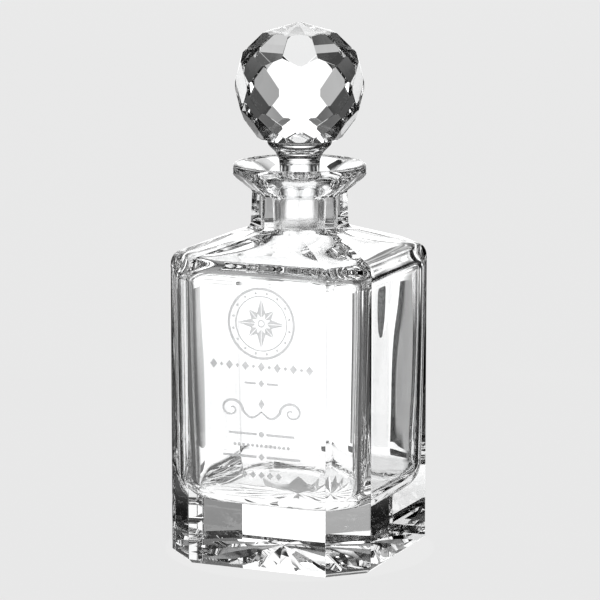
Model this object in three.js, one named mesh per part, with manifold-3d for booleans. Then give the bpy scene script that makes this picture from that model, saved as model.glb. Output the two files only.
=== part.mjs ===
// Cut crystal spirit decanter: a square bottle with cut corners and a
// ground-in ball stopper. Millimetres, +Z up. The origin is the centre of the
// footprint, on the surface the bottle stands on; the front face looks to -Y.
import * as THREE from 'three';
import { mergeVertices } from 'three/addons/utils/BufferGeometryUtils.js';
import { ConvexGeometry } from 'three/addons/geometries/ConvexGeometry.js';
import Module from 'manifold-3d';

const wasm = await Module();
wasm.setup();

// ------------------------------------------------------------ dimensions
const WIDTH = 95;              // across opposite faces
const CORNER_CUT = 15;         // leg of the 45 degree corner cut
const HALF = WIDTH / 2;
const FACE = HALF - CORNER_CUT; // half the width of a face between its corner cuts

const FOOT_BEVEL = 1.8;        // bevel round the foot
const WALL_TOP = 134.5;         // height of the sharp shoulder edge before it is rounded
const SHOULDER_ROUND = 5.5;    // length of wall taken by the rounding
const NECK_BASE = 144.5;       // height where the shoulder meets the neck
const NECK_BASE_R = 21.6;      // octagonal neck, corner radius at its base
const NECK_TOP_R = 20.8;       // ... and under the lip
const NECK_TOP = 160.4;        // where the neck starts to flare
const FLARE_SLOPE = 1.22;      // growth of the octagonal flare's corner radius with height
const LIP_R = 29.4;            // outer radius of the lip
const LIP_TOP = 172.9;

const MOUTH_R = 27.0;          // funnel radius just inside the lip
const BORE_TOP = 157.6;        // ground taper bore
const BORE_TOP_R = 9.3;
const BORE_BOTTOM = 143.0;
const BORE_BOTTOM_R = 8.6;

const FLOOR = 26.5;            // thickness of the solid base
const CAVITY_BOTTOM = 40.2;    // half-width of the hollow just above its floor
const CAVITY_TOP = 42.2;       // half-width under the shoulder
const CAVITY_CORNER = 15;      // corner radius of the hollow

const STAR_RAYS = 16;          // rays of the star cut under the base
const STAR_R = 43;             // radius of the star
const STAR_DEPTH = 4.6;        // depth of its grooves where they meet in the middle
const STAR_SLOPE = 0.5;        // steepness of the grooves' sides

const BALL_Z = 206.8;          // centre of the cut ball
const STEM_R = 8.85;
const PLUG_GAP = 0.32;         // running gap between the ground plug and its bore
const PLUG_BOTTOM = 142.2;

// Facets of the ball, row by row from the top: angle of the facet's normal
// from +Z, how many go round, their turn in facet steps, distance from the centre.
const BALL_TURN = 23.3;        // turn of the whole ball about its axis, degrees
const BALL_ROWS = [
  { tilt: 16.8, count: 10, step: 0.5, reach: 26.8 },
  { tilt: 45.6, count: 10, step: 0, reach: 27.1 },
  { tilt: 75.7, count: 10, step: 0.5, reach: 27.7 },
  { tilt: 90.6, count: 10, step: 0, reach: 26.8 },
  { tilt: 105.7, count: 10, step: 0.5, reach: 27.5 },
  { tilt: 125.4, count: 10, step: 0, reach: 27.5 },
  { tilt: 164.3, count: 10, step: 0.5, reach: 26.9 },
];

// ------------------------------------------------------------ ring sections
const SIDES = 8;               // four faces and four corner cuts, or an octagon's sides
const PER_SIDE = 8;            // points on each
const COUNT = SIDES * PER_SIDE;
const rad = THREE.MathUtils.degToRad;
const mix = (a, b, t) => a + (b - a) * t;

// eight-sided section: a is the distance of the main faces, h half their width
function eightSided(a, h, z) {
  const c = [[-h, -a], [h, -a], [a, -h], [a, h], [h, a], [-h, a], [-a, h], [-a, -h]];
  const ring = [];
  for (let k = 0; k < SIDES; k++) {
    const p = c[k], q = c[(k + 1) % SIDES];
    for (let j = 0; j < PER_SIDE; j++) {
      const t = j / PER_SIDE;
      ring.push([mix(p[0], q[0], t), mix(p[1], q[1], t), z]);
    }
  }
  return ring;
}
const octagon = (r, z) => eightSided(r * Math.cos(rad(22.5)), r * Math.sin(rad(22.5)), z);
const angleOf = (i) => rad(-22.5 + (360 * i) / COUNT);
function circle(r, z) {
  const ring = [];
  for (let i = 0; i < COUNT; i++) ring.push([r * Math.sin(angleOf(i)), -r * Math.cos(angleOf(i)), z]);
  return ring;
}
function blend(a, b, t) {
  return a.map((p, i) => p.map((v, k) => mix(v, b[i][k], t)));
}
// circle of radius r cut by an octagon of corner radius rc
function cutRound(r, rc, z) {
  const ring = [];
  for (let i = 0; i < COUNT; i++) {
    const off = Math.abs(((i % PER_SIDE) / PER_SIDE - 0.5) * rad(45));
    const d = Math.min(r, (rc * Math.cos(rad(22.5))) / Math.cos(off));
    ring.push([d * Math.sin(angleOf(i)), -d * Math.cos(angleOf(i)), z]);
  }
  return ring;
}
// square with rounded corners: w its half-width, c the corner radius
function roundedSquare(w, c, z) {
  const ring = [];
  for (let i = 0; i < COUNT; i++) {
    const dx = Math.sin(angleOf(i)), dy = -Math.cos(angleOf(i));
    const m = w / Math.max(Math.abs(dx), Math.abs(dy));
    let x = dx * m, y = dy * m;
    const f = w - c;
    if (Math.min(Math.abs(x), Math.abs(y)) > f) {
      const bx = Math.abs(dx), by = Math.abs(dy);
      const b = f * (bx + by);
      const t = b + Math.sqrt(Math.max(b * b - (2 * f * f - c * c), 0));
      x = dx * t;
      y = dy * t;
    }
    ring.push([x, y, z]);
  }
  return ring;
}
// star cut: every fourth point lies in a groove, the ridges run midway between
function star(r) {
  const depth = STAR_DEPTH * (1 - (r / STAR_R) ** 1.7);
  return circle(r, 0).map(([x, y], i) => {
    const off = [0, 1, 2, 1][i % 4] * Math.PI / STAR_RAYS / 2;
    return [x, y, Math.max(0, depth - STAR_SLOPE * off * r)];
  });
}

// a closed skin over a stack of rings, with a point closing each end
function skin(bottom, rings, top) {
  const pos = [...bottom];
  for (const ring of rings) for (const p of ring) pos.push(...p);
  pos.push(...top);
  const last = 1 + rings.length * COUNT;
  const at = (j, i) => 1 + j * COUNT + (i % COUNT);
  const index = [];
  for (let i = 0; i < COUNT; i++) index.push(0, at(0, i + 1), at(0, i));
  for (let j = 0; j + 1 < rings.length; j++) {
    for (let i = 0; i < COUNT; i++) {
      index.push(at(j, i), at(j, i + 1), at(j + 1, i + 1));
      index.push(at(j, i), at(j + 1, i + 1), at(j + 1, i));
    }
  }
  const n = rings.length - 1;
  for (let i = 0; i < COUNT; i++) index.push(last, at(n, i), at(n, i + 1));
  const g = new THREE.BufferGeometry();
  g.setAttribute('position', new THREE.Float32BufferAttribute(pos, 3));
  g.setIndex(index);
  return g;
}

// ------------------------------------------------------------ bottle
function bottleRings() {
  const rings = [];
  // underside: dished star cut, then the flat foot and its bevel
  for (const r of [4, 12, 20, 28, 35, 40]) rings.push(star(r));
  rings.push(circle(STAR_R, 0));
  rings.push(eightSided(HALF - FOOT_BEVEL, FACE - FOOT_BEVEL * 0.414, 0));
  rings.push(eightSided(HALF, FACE, FOOT_BEVEL));
  // wall, rounded shoulder edge and sloping shoulder up to the octagonal neck
  const neckA = NECK_BASE_R * Math.cos(rad(22.5)), neckH = NECK_BASE_R * Math.sin(rad(22.5));
  const shoulder = (s) => [mix(HALF, neckA, s), mix(FACE, neckH, s), mix(WALL_TOP, NECK_BASE, s)];
  const p0 = [HALF, FACE, WALL_TOP - SHOULDER_ROUND], p1 = [HALF, FACE, WALL_TOP], p2 = shoulder(0.12);
  for (const t of [0, 0.2, 0.4, 0.6, 0.8, 1]) {
    const q = p0.map((v, k) => (1 - t) * (1 - t) * v + 2 * t * (1 - t) * p1[k] + t * t * p2[k]);
    rings.push(eightSided(q[0], q[1], q[2]));
  }
  const s0 = shoulder(0.9), s1 = [neckA, neckH, NECK_BASE];
  const neckUp = (z) => {
    const r = mix(NECK_BASE_R, NECK_TOP_R, (z - NECK_BASE) / (NECK_TOP - NECK_BASE));
    return [r * Math.cos(rad(22.5)), r * Math.sin(rad(22.5)), z];
  };
  const s2 = neckUp(NECK_BASE + 2.4);
  for (const t of [0, 0.35, 0.65, 1]) {
    const q = s0.map((v, k) => (1 - t) * (1 - t) * v + 2 * t * (1 - t) * s1[k] + t * t * s2[k]);
    rings.push(eightSided(q[0], q[1], q[2]));
  }
  // neck, flare and the round lip
  rings.push(octagon(NECK_TOP_R, NECK_TOP));
  rings.push(octagon(NECK_TOP_R + FLARE_SLOPE * 3, NECK_TOP + 3));
  for (const [r, z] of [[27.9, 166.2], [28.5, 166.8], [29.1, 167.6], [LIP_R, 168.4], [LIP_R, 169.2], [LIP_R, 170.0]]) {
    rings.push(cutRound(r, NECK_TOP_R + FLARE_SLOPE * (z - NECK_TOP), z));
  }
  rings.push(circle(LIP_R, LIP_TOP - 1.7));
  rings.push(circle(LIP_R - 0.7, LIP_TOP - 0.4));
  rings.push(circle(LIP_R - 1.6, LIP_TOP));
  // funnel down to the ground bore
  const funnel = [[MOUTH_R, LIP_TOP - 0.4], [24.2, 171.6], [20.8, 169.9], [17.2, 167.4], [14.0, 164.4], [11.4, 161.2], [9.9, 158.9]];
  for (const [r, z] of funnel) rings.push(circle(r, z));
  rings.push(circle(BORE_TOP_R, BORE_TOP));
  rings.push(circle(BORE_BOTTOM_R, BORE_BOTTOM));
  // inside of the shoulder, opening out into the hollow
  rings.push(circle(9.2, 141.4));
  rings.push(circle(11.4, 139.4));
  rings.push(blend(circle(16.5, 137.2), roundedSquare(16.5, 10, 137.2), 0.4));
  rings.push(roundedSquare(25.5, 13, 134.4));
  rings.push(roundedSquare(34.0, 13, 131.8));
  rings.push(roundedSquare(38.6, CAVITY_CORNER, 130.0));
  rings.push(roundedSquare(41.2, CAVITY_CORNER, 127.4));
  rings.push(roundedSquare(CAVITY_TOP, CAVITY_CORNER, 123.0));
  rings.push(roundedSquare(CAVITY_BOTTOM, CAVITY_CORNER, FLOOR + 11));
  // floor of the hollow, rounded into its walls
  const round = 10;
  for (const a of [22, 45, 68, 90]) {
    const w = CAVITY_BOTTOM - round * (1 - Math.cos(rad(a)));
    rings.push(roundedSquare(w, Math.min(CAVITY_CORNER, w - 2), FLOOR + round * (1 - Math.sin(rad(a)))));
  }
  rings.push(circle(14, FLOOR - 0.3));
  return rings;
}

const glass = (name, colour, roughness) => {
  const m = new THREE.MeshStandardMaterial({ color: colour, roughness, metalness: 0 });
  m.name = name;
  m.transparent = true;
  m.opacity = 0.35;
  return m;
};

const bottle = new THREE.Mesh(
  skin([0, 0, STAR_DEPTH], bottleRings(), [0, 0, FLOOR - 0.4]),
  glass('bottle_crystal', 0xf2f4f5, 0.02),
);
bottle.name = 'bottle';

// ------------------------------------------------------------ stopper
// corner points of the solid that a set of planes n.p <= d leaves
function cornersOf(planes) {
  const pts = [];
  const m = new THREE.Matrix3();
  for (let i = 0; i < planes.length; i++) {
    for (let j = i + 1; j < planes.length; j++) {
      if (planes[i].n.dot(planes[j].n) < 0) continue;
      for (let k = j + 1; k < planes.length; k++) {
        const a = planes[i].n, b = planes[j].n, c = planes[k].n;
        m.set(a.x, a.y, a.z, b.x, b.y, b.z, c.x, c.y, c.z);
        if (Math.abs(m.determinant()) < 1e-5) continue;
        const p = new THREE.Vector3(planes[i].d, planes[j].d, planes[k].d).applyMatrix3(m.invert());
        if (planes.some((q) => q.n.dot(p) > q.d + 1e-6)) continue;
        if (pts.some((q) => q.distanceToSquared(p) < 1e-6)) continue;
        pts.push(p);
      }
    }
  }
  return pts;
}

function ballPlanes() {
  const planes = [];
  for (const row of BALL_ROWS) {
    for (let k = 0; k < row.count; k++) {
      const az = rad(BALL_TURN + ((k + row.step) * 360) / row.count);
      const t = rad(row.tilt);
      planes.push({
        n: new THREE.Vector3(Math.sin(t) * Math.sin(az), -Math.sin(t) * Math.cos(az), Math.cos(t)),
        d: row.reach,
      });
    }
  }
  return planes;
}

function toSolid(geometry) {
  const g = geometry.clone();
  for (const name of Object.keys(g.attributes)) if (name !== 'position') g.deleteAttribute(name);
  const m = mergeVertices(g, 1e-4);
  return new wasm.Manifold(new wasm.Mesh({
    numProp: 3,
    vertProperties: Float32Array.from(m.attributes.position.array),
    triVerts: Uint32Array.from(m.index.array),
  }));
}
function toGeometry(solid) {
  const mesh = solid.getMesh();
  const g = new THREE.BufferGeometry();
  g.setAttribute('position', new THREE.BufferAttribute(Float32Array.from(mesh.vertProperties), 3));
  g.setIndex(Array.from(mesh.triVerts));
  return g;
}

const ball = new ConvexGeometry(cornersOf(ballPlanes()));
ball.translate(0, 0, BALL_Z);

const stem = new THREE.LatheGeometry([
  [0, PLUG_BOTTOM],
  [BORE_BOTTOM_R - PLUG_GAP - 0.9, PLUG_BOTTOM],
  [BORE_BOTTOM_R - PLUG_GAP, BORE_BOTTOM + 0.4],
  [BORE_TOP_R - PLUG_GAP, BORE_TOP],
  [STEM_R, BORE_TOP + 2],
  [STEM_R, 171.5],
  [STEM_R + 0.25, 174.2],
  [STEM_R + 1.0, 176.4],
  [STEM_R + 2.4, 178.4],
  [STEM_R + 4.8, 180.6],
  [STEM_R + 6.0, 183.4],
  [0, 186],
].map(([r, z]) => new THREE.Vector2(r, z)), 48);
stem.rotateX(Math.PI / 2);

const stopper = new THREE.Mesh(
  toGeometry(toSolid(ball).add(toSolid(stem))),
  glass('stopper_crystal', 0xf2f4f5, 0.02),
);
stopper.name = 'stopper';

// ------------------------------------------------------------ assembly
const decanter = new THREE.Group();
decanter.name = 'decanter';
decanter.add(bottle, stopper);

export default decanter;
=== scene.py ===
# Cut crystal decanter: fine glass meshes, materials, light and camera.
# Sections are worked out in millimetres in the CAD frame and scaled to metres.
import math

import bmesh
import bpy
import numpy as np
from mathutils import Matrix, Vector


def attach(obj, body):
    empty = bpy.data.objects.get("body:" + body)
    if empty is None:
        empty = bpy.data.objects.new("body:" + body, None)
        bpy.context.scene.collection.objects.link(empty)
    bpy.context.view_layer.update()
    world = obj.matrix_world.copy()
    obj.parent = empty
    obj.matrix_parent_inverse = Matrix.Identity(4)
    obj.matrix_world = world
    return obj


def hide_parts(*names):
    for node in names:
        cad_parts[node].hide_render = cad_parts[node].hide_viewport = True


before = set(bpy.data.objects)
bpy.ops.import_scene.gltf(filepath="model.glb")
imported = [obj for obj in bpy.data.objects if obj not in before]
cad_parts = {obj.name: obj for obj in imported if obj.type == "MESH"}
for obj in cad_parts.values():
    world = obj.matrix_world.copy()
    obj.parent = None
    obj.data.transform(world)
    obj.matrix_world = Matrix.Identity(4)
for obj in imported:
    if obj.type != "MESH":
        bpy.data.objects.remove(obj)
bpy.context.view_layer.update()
scene = bpy.context.scene
MM = 0.001

# ------------------------------------------------------------------ camera
VIEW_AZ = 23.3            # the camera stands this far round to the object's right
CAM_DIST, CAM_Z, CAM_TILT = 1.504, 0.3877, 0.1815


def around(az, dist, z):
    a = math.radians(az)
    return Vector((math.sin(a) * dist, -math.cos(a) * dist, z))


cam_data = bpy.data.cameras.new("camera")
cam = bpy.data.objects.new("camera", cam_data)
scene.collection.objects.link(cam)
scene.camera = cam
cam_data.sensor_width = 36.0
cam_data.lens = 3465.0 / 600.0 * 36.0
cam_data.clip_start, cam_data.clip_end = 0.05, 60.0
th = -0.406 + 0.4 / 3465.0
cam.location = (-CAM_DIST * math.sin(-0.406), -CAM_DIST * math.cos(-0.406), CAM_Z)
look = Vector((math.sin(th) * math.cos(CAM_TILT), math.cos(th) * math.cos(CAM_TILT), -math.sin(CAM_TILT)))
cam.rotation_mode = "QUATERNION"
cam.rotation_quaternion = look.to_track_quat("-Z", "Y")

# ------------------------------------------------------------------ sizes (mm), as the CAD
SKIN = 0.04               # the etched mark's thickness, kept inside the CAD face
HALF = 47.5 - SKIN
FACE = 32.5
BEVEL = 1.8
WALL_TOP = 134.5
ROUND = 5.5
NECK_Z = 144.5
NECK_R0, NECK_R1 = 21.6, 20.8
NECK_TOP = 160.4
FLARE_SLOPE = 1.22
LIP_R, LIP_TOP = 29.4, 172.9
BORE_TOP, BORE_TOP_R, BORE_BOT, BORE_BOT_R = 157.6, 9.3, 143.0, 8.6
FLOOR = 26.5
CAV0, CAV1, CAV_C = 40.2, 42.2, 15.0
STAR_N, STAR_R, STAR_D, STAR_M = 16, 43.0, 4.6, 0.5
PLUG_GAP, PLUG_BOT, STEM_R = 0.32, 142.2, 8.85
BALL_Z = 206.8

C225, S225 = math.cos(math.radians(22.5)), math.sin(math.radians(22.5))
NS, NC = 20, 4            # steps along a side and round the small bevel of its corner
PER = NS + NC
N = 8 * PER


def ang(i):
    return math.radians(-22.5 + 360.0 * i / N)


UNIT = np.array([[math.sin(ang(i)), -math.cos(ang(i))] for i in range(N)])


def eight(a, h, z, e=0.4):
    """Eight-sided section, main faces at distance a and of half width h, corners rounded to radius e."""
    c = np.array([(-h, -a), (h, -a), (a, -h), (a, h), (h, a), (-h, a), (-a, h), (-a, -h)], float)
    arcs = []
    for k in range(8):
        p, q, o = c[k], c[(k + 1) % 8], c[k - 1]
        u1, u2 = (p - o) / np.linalg.norm(p - o), (q - p) / np.linalg.norm(q - p)
        t = e * math.tan(math.radians(22.5))
        n1 = np.array([-u1[1], u1[0]])
        centre = p - u1 * t + n1 * e
        start = -n1
        pts = []
        for j in range(NC + 1):
            w = math.radians(45.0 * j / NC)
            d = np.array([start[0] * math.cos(w) - start[1] * math.sin(w), start[0] * math.sin(w) + start[1] * math.cos(w)])
            pts.append(centre + d * e)
        arcs.append(pts)
    out = []
    for k in range(8):
        nxt = arcs[(k + 1) % 8]
        out += arcs[k][NC // 2:NC]
        s, f = arcs[k][NC], nxt[0]
        out += [s + (f - s) * (j / NS) for j in range(NS)]
        out += nxt[:NC // 2]
    out = np.array(out)
    return np.column_stack([out, np.full(N, z)])


def octagon(r, z, e=0.4):
    return eight(r * C225, r * S225, z, e)


def circle(r, z):
    return np.column_stack([UNIT * r, np.full(N, z)])


def cut_round(r, rc, z):
    """Circle of radius r cut by an octagon of corner radius rc."""
    out = []
    for i in range(N):
        off = abs(((i % PER) / PER - 0.5) * math.radians(45))
        d = min(r, rc * C225 / math.cos(off))
        out.append((d * UNIT[i][0], d * UNIT[i][1], z))
    return np.array(out)


def rounded(w, c, z):
    """Square of half width w with corner radius c."""
    f = w - c
    out = []
    for dx, dy in UNIT:
        m = w / max(abs(dx), abs(dy))
        x, y = dx * m, dy * m
        if min(abs(x), abs(y)) > f:
            b = f * (abs(dx) + abs(dy))
            t = b + math.sqrt(max(b * b - (2 * f * f - c * c), 0.0))
            x, y = dx * t, dy * t
        out.append((x, y, z))
    return np.array(out)


def smooth_path(pts, per=4):
    """Catmull-Rom points through pts (rows of any width)."""
    p = np.array(pts, float)
    p = np.vstack([2 * p[0] - p[1], p, 2 * p[-1] - p[-2]])
    out = []
    for i in range(1, len(p) - 2):
        for j in range(per):
            t = j / per
            a, b, c, d = p[i - 1], p[i], p[i + 1], p[i + 2]
            out.append(0.5 * (2 * b + (c - a) * t + (2 * a - 5 * b + 4 * c - d) * t * t + (3 * b - a - 3 * c + d) * t ** 3))
    out.append(p[-2])
    return np.array(out)


def star_ring(r):
    """Ring of the star cut: V grooves meeting in ridges, their tips dying out on the flat foot."""
    depth = max(0.0, STAR_D * (1 - (r / STAR_R) ** 1.7))
    half = math.pi / STAR_N
    w = min(half, depth / (STAR_M * r)) if r > 0 else half
    steps = N // STAR_N
    mid = steps // 2
    out = []
    for i in range(N):
        ray, j = divmod(i, steps)
        k = j if j <= mid else steps - j
        off = half * k / mid if w >= half else (w * k / (mid - 1) if k < mid else half)
        sign = 1 if j <= mid else -1
        base = ang(0) + 2 * half * (ray if sign > 0 else ray + 1)
        a = base + sign * off
        z = max(0.0, depth - STAR_M * off * r)
        out.append((r * math.sin(a), -r * math.cos(a), z))
    return np.array(out)


def bottle_rings():
    rings, zone = [], []

    def add(ring, tag):
        rings.append(ring)
        zone.append(tag)

    for r in (1.2, 3.0, 6.0, 10.0, 14.0, 18.0, 22.0, 26.0, 30.0, 33.0, 36.0, 38.5, 40.5, 42.0, STAR_R):
        add(star_ring(r), "cut")
    add(eight(HALF - BEVEL, FACE - BEVEL * 0.414, 0.0), "cut")
    add(eight(HALF, FACE, BEVEL), "cut")
    add(eight(HALF, FACE, BEVEL + 0.25), "cut")
    add(eight(HALF, FACE, 60.0), "cut")
    na, nh = NECK_R0 * C225, NECK_R0 * S225

    def shoulder(s):
        return np.array([HALF + (na - HALF) * s, FACE + (nh - FACE) * s, WALL_TOP + (NECK_Z - WALL_TOP) * s])

    p0, p1, p2 = np.array([HALF, FACE, WALL_TOP - ROUND]), np.array([HALF, FACE, WALL_TOP]), shoulder(0.12)
    add(eight(HALF, FACE, WALL_TOP - ROUND - 0.25), "cut")
    for t in np.linspace(0, 1, 17):
        q = (1 - t) ** 2 * p0 + 2 * t * (1 - t) * p1 + t * t * p2
        add(eight(*q), "cut")
    add(eight(*shoulder(0.13)), "cut")
    add(eight(*shoulder(0.6)), "cut")

    def neck(z):
        r = NECK_R0 + (NECK_R1 - NECK_R0) * (z - NECK_Z) / (NECK_TOP - NECK_Z)
        return np.array([r * C225, r * S225, z])

    s0, s1, s2 = shoulder(0.91), np.array([na, nh, NECK_Z]), neck(NECK_Z + 2.2)
    add(eight(*shoulder(0.9)), "cut")
    for t in np.linspace(0, 1, 9):
        q = (1 - t) ** 2 * s0 + 2 * t * (1 - t) * s1 + t * t * s2
        add(eight(*q), "cut")
    add(eight(*neck(NECK_Z + 2.4)), "cut")
    add(eight(*neck(154.0)), "cut")
    foot = [(20.95, 158.6), (20.85, 159.8), (21.0, 160.5), (21.6, 161.2)]
    for r, z in foot:
        add(octagon(r, z), "cut")
    add(octagon(NECK_R1 + FLARE_SLOPE * 3, NECK_TOP + 3), "cut")
    rim = smooth_path([(26.9, 165.4), (27.9, 166.2), (28.5, 166.8), (29.1, 167.6), (29.4, 168.4), (29.4, 169.2), (29.4, 170.0)], 3)
    for r, z in rim:
        add(cut_round(r, NECK_R1 + FLARE_SLOPE * (z - NECK_TOP), z), "cut")
    lip = smooth_path([(29.4, 170.0), (29.38, 171.0), (29.1, 172.0), (28.4, 172.7), (27.6, 172.9), (26.8, 172.6)], 4)[1:]
    for r, z in lip:
        add(circle(r, z), "round")
    funnel = smooth_path([(26.8, 172.6), (24.2, 171.6), (20.8, 169.9), (17.2, 167.4), (14.0, 164.4), (11.4, 161.2), (9.9, 158.9), (BORE_TOP_R, BORE_TOP)], 5)
    for r, z in funnel[1:]:
        add(circle(r, z), "round")
    for z in np.linspace(BORE_TOP, BORE_BOT, 9)[1:]:
        add(circle(BORE_TOP_R + (BORE_BOT_R - BORE_TOP_R) * (BORE_TOP - z) / (BORE_TOP - BORE_BOT), z), "bore")
    inner = smooth_path([(BORE_BOT_R, BORE_BOT), (9.0, 141.9), (10.2, 140.3), (12.6, 138.8), (17.0, 137.1), (25.5, 134.4), (33.5, 132.0), (38.0, 130.3), (40.6, 128.2), (41.9, 125.4), (CAV1, 121.5),
                         (41.9, 100.0), (41.2, 70.0), (40.5, 48.0), (CAV0, FLOOR + 10.5)], 5)
    for w, z in inner[1:]:
        s = min(1.0, max(0.0, (w - 11.0) / (38.0 - 11.0)))
        s = s * s * (3 - 2 * s)
        c = w * (1 - s) + CAV_C * s
        add(rounded(w, min(c, w * 0.999), z), "inner")
    rad_f = 10.0
    for a in np.linspace(0, 90, 13)[1:]:
        a = math.radians(a)
        w = CAV0 - rad_f * (1 - math.cos(a))
        add(rounded(w, min(CAV_C, w - 2), FLOOR + rad_f * (1 - math.sin(a))), "inner")
    base = rounded(CAV0 - rad_f, min(CAV_C, CAV0 - rad_f - 2), FLOOR)
    for s in (0.97, 0.8, 0.55, 0.3, 0.12):
        ring = base * np.array([s, s, 1])
        ring[:, 2] = FLOOR - 0.4 * (1 - s)
        add(ring, "inner")
    return rings, zone


def waviness(x, y, z):
    """How far the blown inside stands proud of the true hollow, mm: slow folds of
    glass on the side walls, almost none on the front and back."""
    side = max(0.0, min(1.0, (abs(x) - abs(y) + 8.0) / 16.0))
    fold = math.sin(z * 0.062 + y * 0.11 * (1 if x > 0 else -1) + 0.9) + 0.7 * math.sin(y * 0.21 - z * 0.035 + 2.0)
    slow = math.sin(z * 0.083 + x * 0.031 + 1.3) + 0.6 * math.sin(x * 0.12 + y * 0.09 + z * 0.05)
    return 0.30 * side * (1.7 + fold) / 3.4 + 0.06 * (1.6 + slow) / 3.2


def loft(name, rings, zone, bottom, top):
    pts = np.vstack(rings)
    co = np.vstack([[bottom], pts, [top]])
    faces = []
    R = len(rings)

    def at(j, i):
        return 1 + j * N + i % N

    for i in range(N):
        faces.append((0, at(0, i + 1), at(0, i)))
    for j in range(R - 1):
        for i in range(N):
            faces.append((at(j, i), at(j, i + 1), at(j + 1, i + 1), at(j + 1, i)))
    last = 1 + R * N
    for i in range(N):
        faces.append((last, at(R - 1, i), at(R - 1, i + 1)))
    mesh = bpy.data.meshes.new(name)
    mesh.from_pydata([tuple(v * MM) for v in co], [], faces)
    mesh.update()
    return mesh


def sharpen(mesh, limit, keep_round=lambda c: False):
    """Smooth shading, with the cut edges left crisp."""
    bm = bmesh.new()
    bm.from_mesh(mesh)
    for f in bm.faces:
        f.smooth = True
    for e in bm.edges:
        if len(e.link_faces) == 2:
            a = e.link_faces[0].normal.angle(e.link_faces[1].normal, 0.0)
            mid = (e.verts[0].co + e.verts[1].co) / 2
            e.smooth = not (a > math.radians(limit) and not keep_round(mid / MM))
    bm.to_mesh(mesh)
    bm.free()
    mesh.update()


def link(mesh, name):
    o = bpy.data.objects.new(name, mesh)
    scene.collection.objects.link(o)
    return o


# ------------------------------------------------------------------ materials
def nodes_of(mat):
    mat.use_nodes = True
    nt = mat.node_tree
    nt.nodes.clear()
    out = nt.nodes.new("ShaderNodeOutputMaterial")
    bsdf = nt.nodes.new("ShaderNodeBsdfPrincipled")
    nt.links.new(bsdf.outputs["BSDF"], out.inputs["Surface"])
    return nt, bsdf


def crystal(name, rough_lo=0.0, rough_hi=0.012, tint=(0.985, 0.99, 0.992)):
    mat = bpy.data.materials.new(name)
    nt, b = nodes_of(mat)
    b.inputs["Transmission Weight"].default_value = 1.0
    b.inputs["IOR"].default_value = 1.54
    b.inputs["Roughness"].default_value = rough_lo
    co = nt.nodes.new("ShaderNodeTexCoord")
    noise = nt.nodes.new("ShaderNodeTexNoise")
    noise.inputs["Scale"].default_value = 9.0
    noise.inputs["Detail"].default_value = 2.0
    nt.links.new(co.outputs["Object"], noise.inputs["Vector"])
    ramp = nt.nodes.new("ShaderNodeMapRange")
    ramp.inputs["From Min"].default_value = 0.3
    ramp.inputs["From Max"].default_value = 0.7
    ramp.inputs["To Min"].default_value = 0.0
    ramp.inputs["To Max"].default_value = 1.0
    nt.links.new(noise.outputs["Fac"], ramp.inputs["Value"])
    mix = nt.nodes.new("ShaderNodeMix")
    mix.data_type = "RGBA"
    mix.inputs["A"].default_value = (*tint, 1)
    mix.inputs["B"].default_value = (1, 1, 1, 1)
    nt.links.new(ramp.outputs["Result"], mix.inputs["Factor"])
    nt.links.new(mix.outputs["Result"], b.inputs["Base Color"])
    return mat


def ground(name):
    mat = bpy.data.materials.new(name)
    nt, b = nodes_of(mat)
    b.inputs["Transmission Weight"].default_value = 1.0
    b.inputs["IOR"].default_value = 1.54
    co = nt.nodes.new("ShaderNodeTexCoord")
    noise = nt.nodes.new("ShaderNodeTexNoise")
    noise.inputs["Scale"].default_value = 900.0
    noise.inputs["Detail"].default_value = 3.0
    nt.links.new(co.outputs["Object"], noise.inputs["Vector"])
    r = nt.nodes.new("ShaderNodeMapRange")
    r.inputs["To Min"].default_value = 0.12
    r.inputs["To Max"].default_value = 0.24
    nt.links.new(noise.outputs["Fac"], r.inputs["Value"])
    nt.links.new(r.outputs["Result"], b.inputs["Roughness"])
    tone = nt.nodes.new("ShaderNodeMapRange")
    tone.inputs["To Min"].default_value = 0.93
    tone.inputs["To Max"].default_value = 1.0
    nt.links.new(noise.outputs["Fac"], tone.inputs["Value"])
    grey = nt.nodes.new("ShaderNodeCombineColor")
    for k in range(3):
        nt.links.new(tone.outputs["Result"], grey.inputs[k])
    nt.links.new(grey.outputs["Color"], b.inputs["Base Color"])
    return mat


CLEAR = crystal("crystal_clear")
CLEAR_STOP = crystal("crystal_stopper")
GROUND = ground("crystal_ground")

# ------------------------------------------------------------------ bottle
rings, zone = bottle_rings()
for ring, z in zip(rings, zone):
    if z == "inner":
        for i in range(N):
            x, y, h = ring[i]
            r = math.hypot(x, y)
            if h > FLOOR + 0.5 and r > 1:
                d = waviness(x, y, h) * min(1.0, max(0.0, (134.0 - h) / 12.0)) * min(1.0, max(0.0, (h - FLOOR) / 12.0))
                ring[i][0] -= x / r * d
                ring[i][1] -= y / r * d
mesh = loft("crystal_bottle", rings, zone, np.array([0, 0, STAR_D]), np.array([0, 0, FLOOR - 0.42]))
bottle = link(mesh, "crystal_bottle")
mesh.materials.append(CLEAR)
mesh.materials.append(GROUND)
first_inner = zone.index("round")
sharpen(mesh, 8.0, lambda c: c.z > 170.3 or math.hypot(c.x, c.y) < 26.5 and c.z > 166.5 or (c.z > 26 and max(abs(c.x), abs(c.y)) < 43.0 and c.z < 123) or (math.hypot(c.x, c.y) < 12 and c.z > 20))
for j, tag in enumerate(zone[:-1]):
    if tag == "bore" or zone[j + 1] == "bore":
        for i in range(N):
            mesh.polygons[N + j * N + i].material_index = 1


# ------------------------------------------------------------------ stopper
BALL_TURN = VIEW_AZ
BALL_ROWS = [  # normal's angle from +Z, count, turn in steps, distance
    (16.8, 10, 0.5, 26.8), (45.6, 10, 0.0, 27.1), (75.7, 10, 0.5, 27.7), (90.6, 10, 0.0, 26.8),
    (105.7, 10, 0.5, 27.5), (125.4, 10, 0.0, 27.5), (164.3, 10, 0.5, 26.9),
]


EDGE = 0.10               # the polished arris along the ball's cut edges


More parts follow.
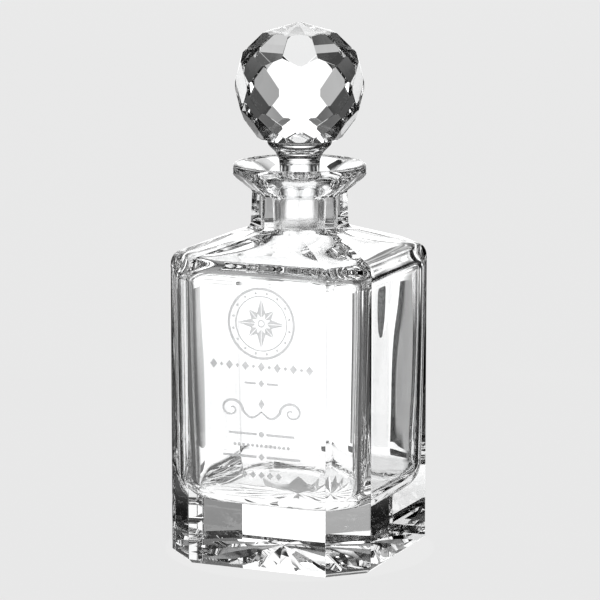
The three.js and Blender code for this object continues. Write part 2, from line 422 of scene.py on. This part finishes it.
def ball_mesh(name):
    bm = bmesh.new()
    bmesh.ops.create_cube(bm, size=80 * MM)
    for tilt, count, step, reach in BALL_ROWS:
        for k in range(count):
            az, t = math.radians(BALL_TURN + (k + step) * 360.0 / count), math.radians(tilt)
            n = Vector((math.sin(t) * math.sin(az), -math.sin(t) * math.cos(az), math.cos(t)))
            geom = bm.verts[:] + bm.edges[:] + bm.faces[:]
            cut = bmesh.ops.bisect_plane(bm, geom=geom, dist=1e-7, plane_co=n * reach * MM, plane_no=n, clear_outer=True)
            edges = [g for g in cut["geom_cut"] if isinstance(g, bmesh.types.BMEdge)]
            if edges:
                bmesh.ops.edgeloop_fill(bm, edges=edges)
    bmesh.ops.remove_doubles(bm, verts=bm.verts[:], dist=1e-6)
    bmesh.ops.recalc_face_normals(bm, faces=bm.faces[:])
    bmesh.ops.dissolve_degenerate(bm, dist=1e-6, edges=bm.edges[:])
    bmesh.ops.bevel(bm, geom=bm.edges[:], offset=EDGE * MM, offset_type="OFFSET", segments=1, profile=0.5, affect="EDGES", clamp_overlap=True)
    bmesh.ops.translate(bm, verts=bm.verts[:], vec=Vector((0, 0, BALL_Z * MM)))
    me = bpy.data.meshes.new(name)
    bm.to_mesh(me)
    bm.free()
    return me


def lathe(name, prof, seg=128):
    co, faces = [(0, 0, prof[0][1] * MM)], []
    for r, z in prof[1:-1]:
        co += [(r * math.sin(2 * math.pi * i / seg) * MM, -r * math.cos(2 * math.pi * i / seg) * MM, z * MM) for i in range(seg)]
    co.append((0, 0, prof[-1][1] * MM))
    m = len(prof) - 2

    def at(j, i):
        return 1 + j * seg + i % seg

    for i in range(seg):
        faces.append((0, at(0, i + 1), at(0, i)))
    for j in range(m - 1):
        for i in range(seg):
            faces.append((at(j, i), at(j, i + 1), at(j + 1, i + 1), at(j + 1, i)))
    for i in range(seg):
        faces.append((1 + m * seg, at(m - 1, i), at(m - 1, i + 1)))
    me = bpy.data.meshes.new(name)
    me.from_pydata(co, [], faces)
    me.update()
    return me


plug = [(8.6 - PLUG_GAP - 0.9, PLUG_BOT), (8.6 - PLUG_GAP - 0.25, PLUG_BOT + 0.25), (BORE_BOT_R - PLUG_GAP, BORE_BOT + 0.4), (BORE_TOP_R - PLUG_GAP, BORE_TOP)]
stem = smooth_path([(STEM_R + 0.13, BORE_TOP), (STEM_R, BORE_TOP + 2), (STEM_R, 165.0), (STEM_R, 171.5), (STEM_R + 0.25, 174.2), (STEM_R + 1.0, 176.4), (STEM_R + 2.4, 178.4), (STEM_R + 4.8, 180.6), (STEM_R + 5.6, 182.6)], 5)
profile = [(0, PLUG_BOT)] + plug + [tuple(p) for p in stem[1:]] + [(8.0, 184.0), (0, 185.0)]
ball_o = link(ball_mesh("cut_stopper"), "cut_stopper")
stem_o = link(lathe("stem_tmp", profile), "stem_tmp")
mod = ball_o.modifiers.new("join", "BOOLEAN")
mod.operation, mod.solver, mod.object = "UNION", "EXACT", stem_o
bpy.context.view_layer.update()
deps = bpy.context.evaluated_depsgraph_get()
joined = bpy.data.meshes.new_from_object(ball_o.evaluated_get(deps))
ball_o.modifiers.clear()
ball_o.data = joined
joined.name = "cut_stopper"
bpy.data.objects.remove(stem_o)
stopper = ball_o
joined.materials.clear()
joined.materials.append(CLEAR_STOP)
joined.materials.append(GROUND)
sharpen(joined, 8.0, lambda c: c.z < 181.0 and c.z > PLUG_BOT + 1.5)
for p in joined.polygons:
    p.material_index = 1 if PLUG_BOT * MM - 1e-6 <= p.center.z < (BORE_TOP - 0.01) * MM else 0

# ------------------------------------------------------------------ etched ornament
ORN_X = 2.5               # the ornament's middle line on the front face
OUT_Y, IN_Y = -(HALF + SKIN * 0.9), -(HALF + SKIN * 0.1)


class Etch:
    """Flat shapes on the front face, each closed as a very thin plate."""

    def __init__(self):
        self.co, self.faces = [], []

    def plate(self, pts, holes=None):
        n, b = len(pts), len(self.co)
        self.co += [((ORN_X + x) * MM, OUT_Y * MM, z * MM) for x, z in pts]
        self.co += [((ORN_X + x) * MM, IN_Y * MM, z * MM) for x, z in pts]
        self.faces.append(tuple(b + k for k in range(n)))
        self.faces.append(tuple(b + n + k for k in reversed(range(n))))
        for k in range(n):
            m = (k + 1) % n
            self.faces.append((b + m, b + k, b + n + k, b + n + m))

    def band(self, left, right, closed):
        """A strip between two rails of points."""
        n, b = len(left), len(self.co)
        for y in (OUT_Y, IN_Y):
            self.co += [((ORN_X + x) * MM, y * MM, z * MM) for x, z in left]
            self.co += [((ORN_X + x) * MM, y * MM, z * MM) for x, z in right]
        lf, rf, lb, rb = b, b + n, b + 2 * n, b + 3 * n
        for k in range(n if closed else n - 1):
            m = (k + 1) % n
            self.faces += [(lf + k, lf + m, rf + m, rf + k), (lb + k, rb + k, rb + m, lb + m), (lf + m, lf + k, lb + k, lb + m), (rf + k, rf + m, rb + m, rb + k)]
        if not closed:
            self.faces += [(lf, rf, rb, lb), (rf + n - 1, lf + n - 1, lb + n - 1, rb + n - 1)]

    def ring(self, x, z, r0, r1, n=96):
        a = [2 * math.pi * k / n for k in range(n)]
        self.band([(x + r0 * math.cos(t), z + r0 * math.sin(t)) for t in a], [(x + r1 * math.cos(t), z + r1 * math.sin(t)) for t in a], True)

    def disc(self, x, z, r, n=20):
        self.plate([(x + r * math.cos(2 * math.pi * k / n), z + r * math.sin(2 * math.pi * k / n)) for k in range(n)])

    def lozenge(self, x, z, w, h):
        self.plate([(x - w, z), (x, z - h), (x + w, z), (x, z + h)])

    def rule(self, x0, x1, z, t):
        self.plate([(x0, z - t / 2), (x1, z - t / 2), (x1, z + t / 2), (x0, z + t / 2)])

    def ribbon(self, path, width):
        """width(t) along the path, t from 0 to 1."""
        p = np.array(path, float)
        d = np.gradient(p, axis=0)
        d /= np.linalg.norm(d, axis=1)[:, None] + 1e-12
        n = np.column_stack([-d[:, 1], d[:, 0]])
        w = np.array([width(k / (len(p) - 1)) for k in range(len(p))])[:, None] / 2
        self.band([tuple(v) for v in p + n * w], [tuple(v) for v in p - n * w], False)


etch = Etch()
RZ = 109.5                # rosette: an eight-pointed star in two rings
etch.ring(0, RZ, 14.6, 15.8)
etch.ring(0, RZ, 11.6, 12.2)
for k in range(16):
    a = math.radians(22.5 * k + 11.25)
    etch.disc(13.4 * math.cos(a), RZ + 13.4 * math.sin(a), 0.62, 14)
for k in range(8):
    a = math.radians(45.0 * k)
    tip = 11.0 if k % 2 == 0 else 8.2
    for side in (-1, 1):
        w = a + side * math.radians(22.5)
        half = [(2.6 * math.cos(a), 2.6 * math.sin(a)), (4.9 * math.cos(w), 4.9 * math.sin(w)), (tip * math.cos(a), tip * math.sin(a))]
        off = 0.13 * side
        half = [(x - math.sin(a) * off, z + math.cos(a) * off) for x, z in half]
        if side > 0:
            half.reverse()
        etch.plate([(x, RZ + z) for x, z in half][::-1])
etch.ring(0, RZ, 1.1, 1.7, 40)
for k in range(-6, 7):                       # chain of lozenges
    etch.lozenge(k * 3.75, 90.6, 1.75 if k % 2 == 0 else 0.95, 2.1 if k % 2 == 0 else 0.95)
for x0, x1 in ((-8.0, -2.6), (2.6, 8.0)):    # short rules either side of a lozenge
    etch.rule(x0, x1, 83.2, 1.0)
etch.lozenge(0, 83.2, 1.5, 1.7)
for side in (-1, 1):                         # a pair of scrolls
    path = []
    for k in range(121):
        t = k / 120
        turn_ = 2.6 * math.pi * t
        r = 5.0 * (1 - t) ** 0.8 + 0.35
        path.append((side * (14.2 + r * math.cos(math.pi - turn_)), 71.3 + r * math.sin(math.pi - turn_) * 0.85))
    etch.ribbon(path, lambda t: 1.3 * (1 - 0.5 * t))
    path = []
    for k in range(61):
        t = k / 60
        path.append((side * (9.0 - 9.0 * t), 71.3 - 3.4 * math.sin(math.pi * t) * (1 - t * 0.2) - 0.4 * t))
    etch.ribbon(path, lambda t: 1.3 - 0.5 * t)
etch.lozenge(0, 74.2, 1.5, 2.3)
etch.rule(-15.5, -2.2, 60.8, 1.1)
etch.rule(2.2, 15.5, 60.8, 1.1)
etch.disc(0, 60.8, 1.3)
for k in range(-6, 7):
    etch.disc(k * 2.1, 55.8, 0.75, 14)
etch.rule(-18.2, -2.4, 50.8, 1.1)
etch.rule(2.4, 18.2, 50.8, 1.1)
etch.lozenge(0, 50.8, 1.5, 1.6)
for k in range(-2, 3):
    etch.lozenge(k * 4.0, 42.8, 1.5, 1.6)
me = bpy.data.meshes.new("etched_ornament")
me.from_pydata(etch.co, [], etch.faces)
me.update()
bm = bmesh.new()
bm.from_mesh(me)
bmesh.ops.recalc_face_normals(bm, faces=bm.faces[:])
bm.to_mesh(me)
bm.free()
ornament = link(me, "etched_ornament")
frost = bpy.data.materials.new("etched_frost")
nt, fb_ = nodes_of(frost)
fb_.inputs["Transmission Weight"].default_value = 0.86
fb_.inputs["IOR"].default_value = 1.45
tc = nt.nodes.new("ShaderNodeTexCoord")
grain = nt.nodes.new("ShaderNodeTexNoise")
grain.inputs["Scale"].default_value = 1400.0
grain.inputs["Detail"].default_value = 2.0
nt.links.new(tc.outputs["Object"], grain.inputs["Vector"])
gr = nt.nodes.new("ShaderNodeMapRange")
gr.inputs["To Min"].default_value = 0.36
gr.inputs["To Max"].default_value = 0.50
nt.links.new(grain.outputs["Fac"], gr.inputs["Value"])
nt.links.new(gr.outputs["Result"], fb_.inputs["Roughness"])
fb_.inputs["Base Color"].default_value = (0.95, 0.952, 0.955, 1)
me.materials.append(frost)

# ------------------------------------------------------------------ pieces on the frame
for piece, node, body in ((bottle, "bottle", "bottle"), (stopper, "stopper", "stopper")):
    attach(piece, body)
    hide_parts(node)
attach(ornament, "bottle")

# ------------------------------------------------------------------ stage and light
scene.view_settings.view_transform = "Standard"
scene.view_settings.look = "None"
scene.cycles.max_bounces = 40
scene.cycles.transmission_bounces = 32
scene.cycles.glossy_bounces = 12
scene.cycles.transparent_max_bounces = 16
scene.cycles.caustics_reflective = True
scene.cycles.caustics_refractive = True

PALE = 0.8148             # the backdrop's tone, linear


def emit(name, strength, colour=(1, 1, 1)):
    mat = bpy.data.materials.new(name)
    mat.use_nodes = True
    nt = mat.node_tree
    nt.nodes.clear()
    out = nt.nodes.new("ShaderNodeOutputMaterial")
    e = nt.nodes.new("ShaderNodeEmission")
    e.inputs["Color"].default_value = (*colour, 1)
    e.inputs["Strength"].default_value = strength
    nt.links.new(e.outputs["Emission"], out.inputs["Surface"])
    return mat


def camera_only(o):
    o.visible_diffuse = o.visible_glossy = o.visible_transmission = o.visible_volume_scatter = o.visible_shadow = False


world = bpy.data.worlds.new("room")
scene.world = world
world.use_nodes = True
bg = world.node_tree.nodes["Background"]
bg.inputs["Color"].default_value = (1, 1, 1, 1)
bg.inputs["Strength"].default_value = 0.03

# backdrop: a pale dome and floor that only the camera sees directly
bm = bmesh.new()
bmesh.ops.create_icosphere(bm, subdivisions=4, radius=6.0)
me = bpy.data.meshes.new("backdrop")
bm.to_mesh(me)
bm.free()
dome = link(me, "backdrop")
me.materials.append(emit("backdrop_pale", PALE))
camera_only(dome)

bm = bmesh.new()
bmesh.ops.create_circle(bm, cap_ends=True, segments=96, radius=3.0)
me = bpy.data.meshes.new("floor")
bm.to_mesh(me)
bm.free()
floor = link(me, "floor")
floor.location.z = -0.0004
fm = bpy.data.materials.new("floor_pale")
nt, fb = nodes_of(fm)
fb.inputs["Base Color"].default_value = (0.02, 0.02, 0.02, 1)
fb.inputs["Roughness"].default_value = 1.0
fb.inputs["Specular IOR Level"].default_value = 0.0
fb.inputs["Emission Color"].default_value = (1, 1, 1, 1)
fb.inputs["Emission Strength"].default_value = PALE - 0.01
me.materials.append(fm)


def lobe(x, half, soft):
    """1 inside +-half, falling smoothly to 0 over soft."""
    t = min(1.0, max(0.0, (half + soft - abs(x)) / soft))
    return t * t * (3 - 2 * t)


def turn(a, b):
    return (a - b + 180.0) % 360.0 - 180.0


# the studio: soft panels round the object with black gaps between them.
# azimuth from the camera (180 is behind the object), half width and soft edge,
# lowest and highest elevation, their soft edge, radiance, tint
WHITE = (1, 1, 1)
PANELS = [
    (180, 4, 20, -22, 26, 12, 1.6, WHITE),
    (180, 24, 8, 27, 31, 3, 0.9, WHITE),
    (180, 70, 30, 46, 86, 6, 0.3, WHITE),
    (180, 12, 20, -64, -34, 8, 0.95, WHITE),
    (160, 4, 5, -5, 9, 3, 0.28, WHITE),
    (-160, 4, 5, -5, 9, 3, 0.38, WHITE),
    (162, 3, 3, 11, 16, 3, 0.5, WHITE),
    (-163, 3, 3, 11, 16, 3, 0.5, WHITE),
    (146, 6, 4, 2, 16, 4, 0.07, WHITE),
    (-146, 6, 4, 2, 16, 4, 0.07, WHITE),
    (147, 3, 3, -11, -8, 2, 0.35, WHITE),
    (-147, 3, 3, -11, -8, 2, 0.35, WHITE),
    (120, 6, 3, -9, 2, 2, 1.2, WHITE),
    (-120, 6, 3, -9, 2, 2, 1.1, WHITE),
    (-48, 7, 4, -12, 4, 3, 2.0, WHITE),
    (40, 5, 4, -12, 2, 3, 1.6, WHITE),
    (45, 6, 3, 9, 20, 3, 1.0, WHITE),
    (-45, 6, 3, 9, 20, 3, 1.0, WHITE),
    (62, 6, 4, 24, 48, 5, 1.2, WHITE),
    (-115, 6, 4, 24, 60, 5, 0.9, WHITE),
    (0, 8, 14, -20, 26, 12, 0.5, WHITE),
    (88, 3, 10, -18, 26, 12, 0.4, WHITE),
    (-88, 3, 10, -18, 26, 12, 0.4, WHITE),
]
AMBIENT = 0.01


def glow(az, el):
    v = np.full(3, AMBIENT)
    for a, half, soft, e0, e1, es, power, tint in PANELS:
        v += power * lobe(turn(az, a), half, soft) * lobe(el - (e0 + e1) / 2, (e1 - e0) / 2, es) * np.array(tint)
    return v


def lit_mesh(name, co, faces, values, extra=None):
    """A glowing sheet, its radiance given point by point; the camera doesn't see it."""
    me = bpy.data.meshes.new(name)
    me.from_pydata(co, [], faces)
    layer = me.color_attributes.new("glow", "FLOAT_COLOR", "POINT")
    for i, v in enumerate(values):
        layer.data[i].color = (v[0], v[1], v[2], 1)
    o = link(me, name)
    mat = emit(name + "_glow", 1.0)
    nt = mat.node_tree
    at = nt.nodes.new("ShaderNodeAttribute")
    at.attribute_name = "glow"
    e = next(n for n in nt.nodes if n.type == "EMISSION")
    nt.links.new(at.outputs["Color"], e.inputs["Color"])
    if extra:
        lw = nt.nodes.new("ShaderNodeLayerWeight")
        lw.inputs["Blend"].default_value = 0.5
        mr = nt.nodes.new("ShaderNodeMapRange")
        mr.inputs["From Min"].default_value = 1 - math.cos(math.radians(extra[0]))
        mr.inputs["From Max"].default_value = 1 - math.cos(math.radians(extra[1]))
        mr.inputs["To Min"].default_value = 1.0
        mr.inputs["To Max"].default_value = 0.0
        nt.links.new(lw.outputs["Facing"], mr.inputs["Value"])
        mix = nt.nodes.new("ShaderNodeMixShader")
        clear = nt.nodes.new("ShaderNodeBsdfTransparent")
        out = next(n for n in nt.nodes if n.type == "OUTPUT_MATERIAL")
        nt.links.new(mr.outputs["Result"], mix.inputs["Fac"])
        nt.links.new(clear.outputs["BSDF"], mix.inputs[1])
        nt.links.new(e.outputs["Emission"], mix.inputs[2])
        nt.links.new(mix.outputs["Shader"], out.inputs["Surface"])
    me.materials.append(mat)
    o.visible_camera = False
    return o


def tent():
    na, ne, rad = 360, 120, 3.0
    co, val, faces = [], [], []
    for j in range(ne + 1):
        el = -90 + 180.0 * j / ne
        for i in range(na):
            az = 360.0 * i / na
            co.append(around(VIEW_AZ + az, rad * math.cos(math.radians(el)), rad * math.sin(math.radians(el))))
            val.append(glow(az, el))
    for j in range(ne):
        for i in range(na):
            faces.append((j * na + i, j * na + (i + 1) % na, (j + 1) * na + (i + 1) % na, (j + 1) * na + i))
    return lit_mesh("tent_panels", co, faces, val)


tent()
floor.visible_transmission = False
floor.visible_glossy = False


# a plain gridded softbox just behind the bottle, bright seen square on and dark seen
# from the side: rows of height (mm), each a list of (place across, radiance), then
# the angles where it starts to fade and has faded
CARD = [(28, [(-50, 1.3), (38, 1.3)]), (128, [(-50, 1.3), (38, 1.3)])]
CARD_GRID = (26, 42)


def sheet(name, rows, place, extra=None):
    """A glowing sheet from rows of (height, [(place, radiance)])."""
    co, val, faces = [], [], []
    n = len(rows[0][1])
    for z, row in rows:
        for a, v in row:
            co.append(place(a, z * MM))
            val.append((v, v, v))
    for r in range(len(rows) - 1):
        for i in range(n - 1):
            k = r * n + i
            faces.append((k, k + 1, k + n + 1, k + n))
    return lit_mesh(name, co, faces, val, extra)


CARD_SIDE, CARD_MID = -around(VIEW_AZ + 270, 1, 0), around(VIEW_AZ + 180, 0.064, 0)
sheet("card_back", CARD, lambda u, z: CARD_MID + CARD_SIDE * u * MM + Vector((0, 0, z)), CARD_GRID)


# plain soft cards on black flags, 0.4 m behind the bottle: azimuths of the flag from
# the camera, then the card's middle, half width and soft edge, its heights (mm), radiance
SOFT_CARD_R = 0.4
FLAG_DARK = 0.04
SOFT_CARDS = [
    (150, 172, 155, 4.5, 1.5, -120, -68, 0.20),
    (192, 208, 206, 4.0, 1.5, -120, -68, 0.38),
    (144, 172, 159.5, 3.5, 4.0, -62, 46, 0.55),
    (185, 215, 185, 2.0, 14.0, -62, 46, 0.80),
]
for k, (f0, f1, mid, half, soft, z0, z1, power) in enumerate(SOFT_CARDS):
    row = [(a, FLAG_DARK + power * lobe(a - mid, half, soft)) for a in np.linspace(f0, f1, 2 * (f1 - f0) + 1)]
    sheet("soft_card_%d" % k, [(z0, row), (z1, row)], lambda az, z: around(VIEW_AZ + az, SOFT_CARD_R, z))

# bright table under the bottle and just behind it
back, side = around(VIEW_AZ + 180, 1, 0), CARD_SIDE
lit_mesh("card_table", [back * d + side * u + Vector((0, 0, -0.0003)) for d, u in ((0.050, -0.05), (0.050, 0.05), (0.110, 0.05), (0.110, -0.05))],
         [(0, 1, 2, 3)], [(1.15, 1.15, 1.15)] * 4, (58, 70))
bm = bmesh.new()
bmesh.ops.create_circle(bm, cap_ends=True, segments=64, radius=0.060)
me = bpy.data.meshes.new("card_under")
bm.to_mesh(me)
bm.free()
me.materials.append(emit("card_under_glow", 1.1))
under = link(me, "card_under")
under.location.z = -0.0003
under.visible_camera = False
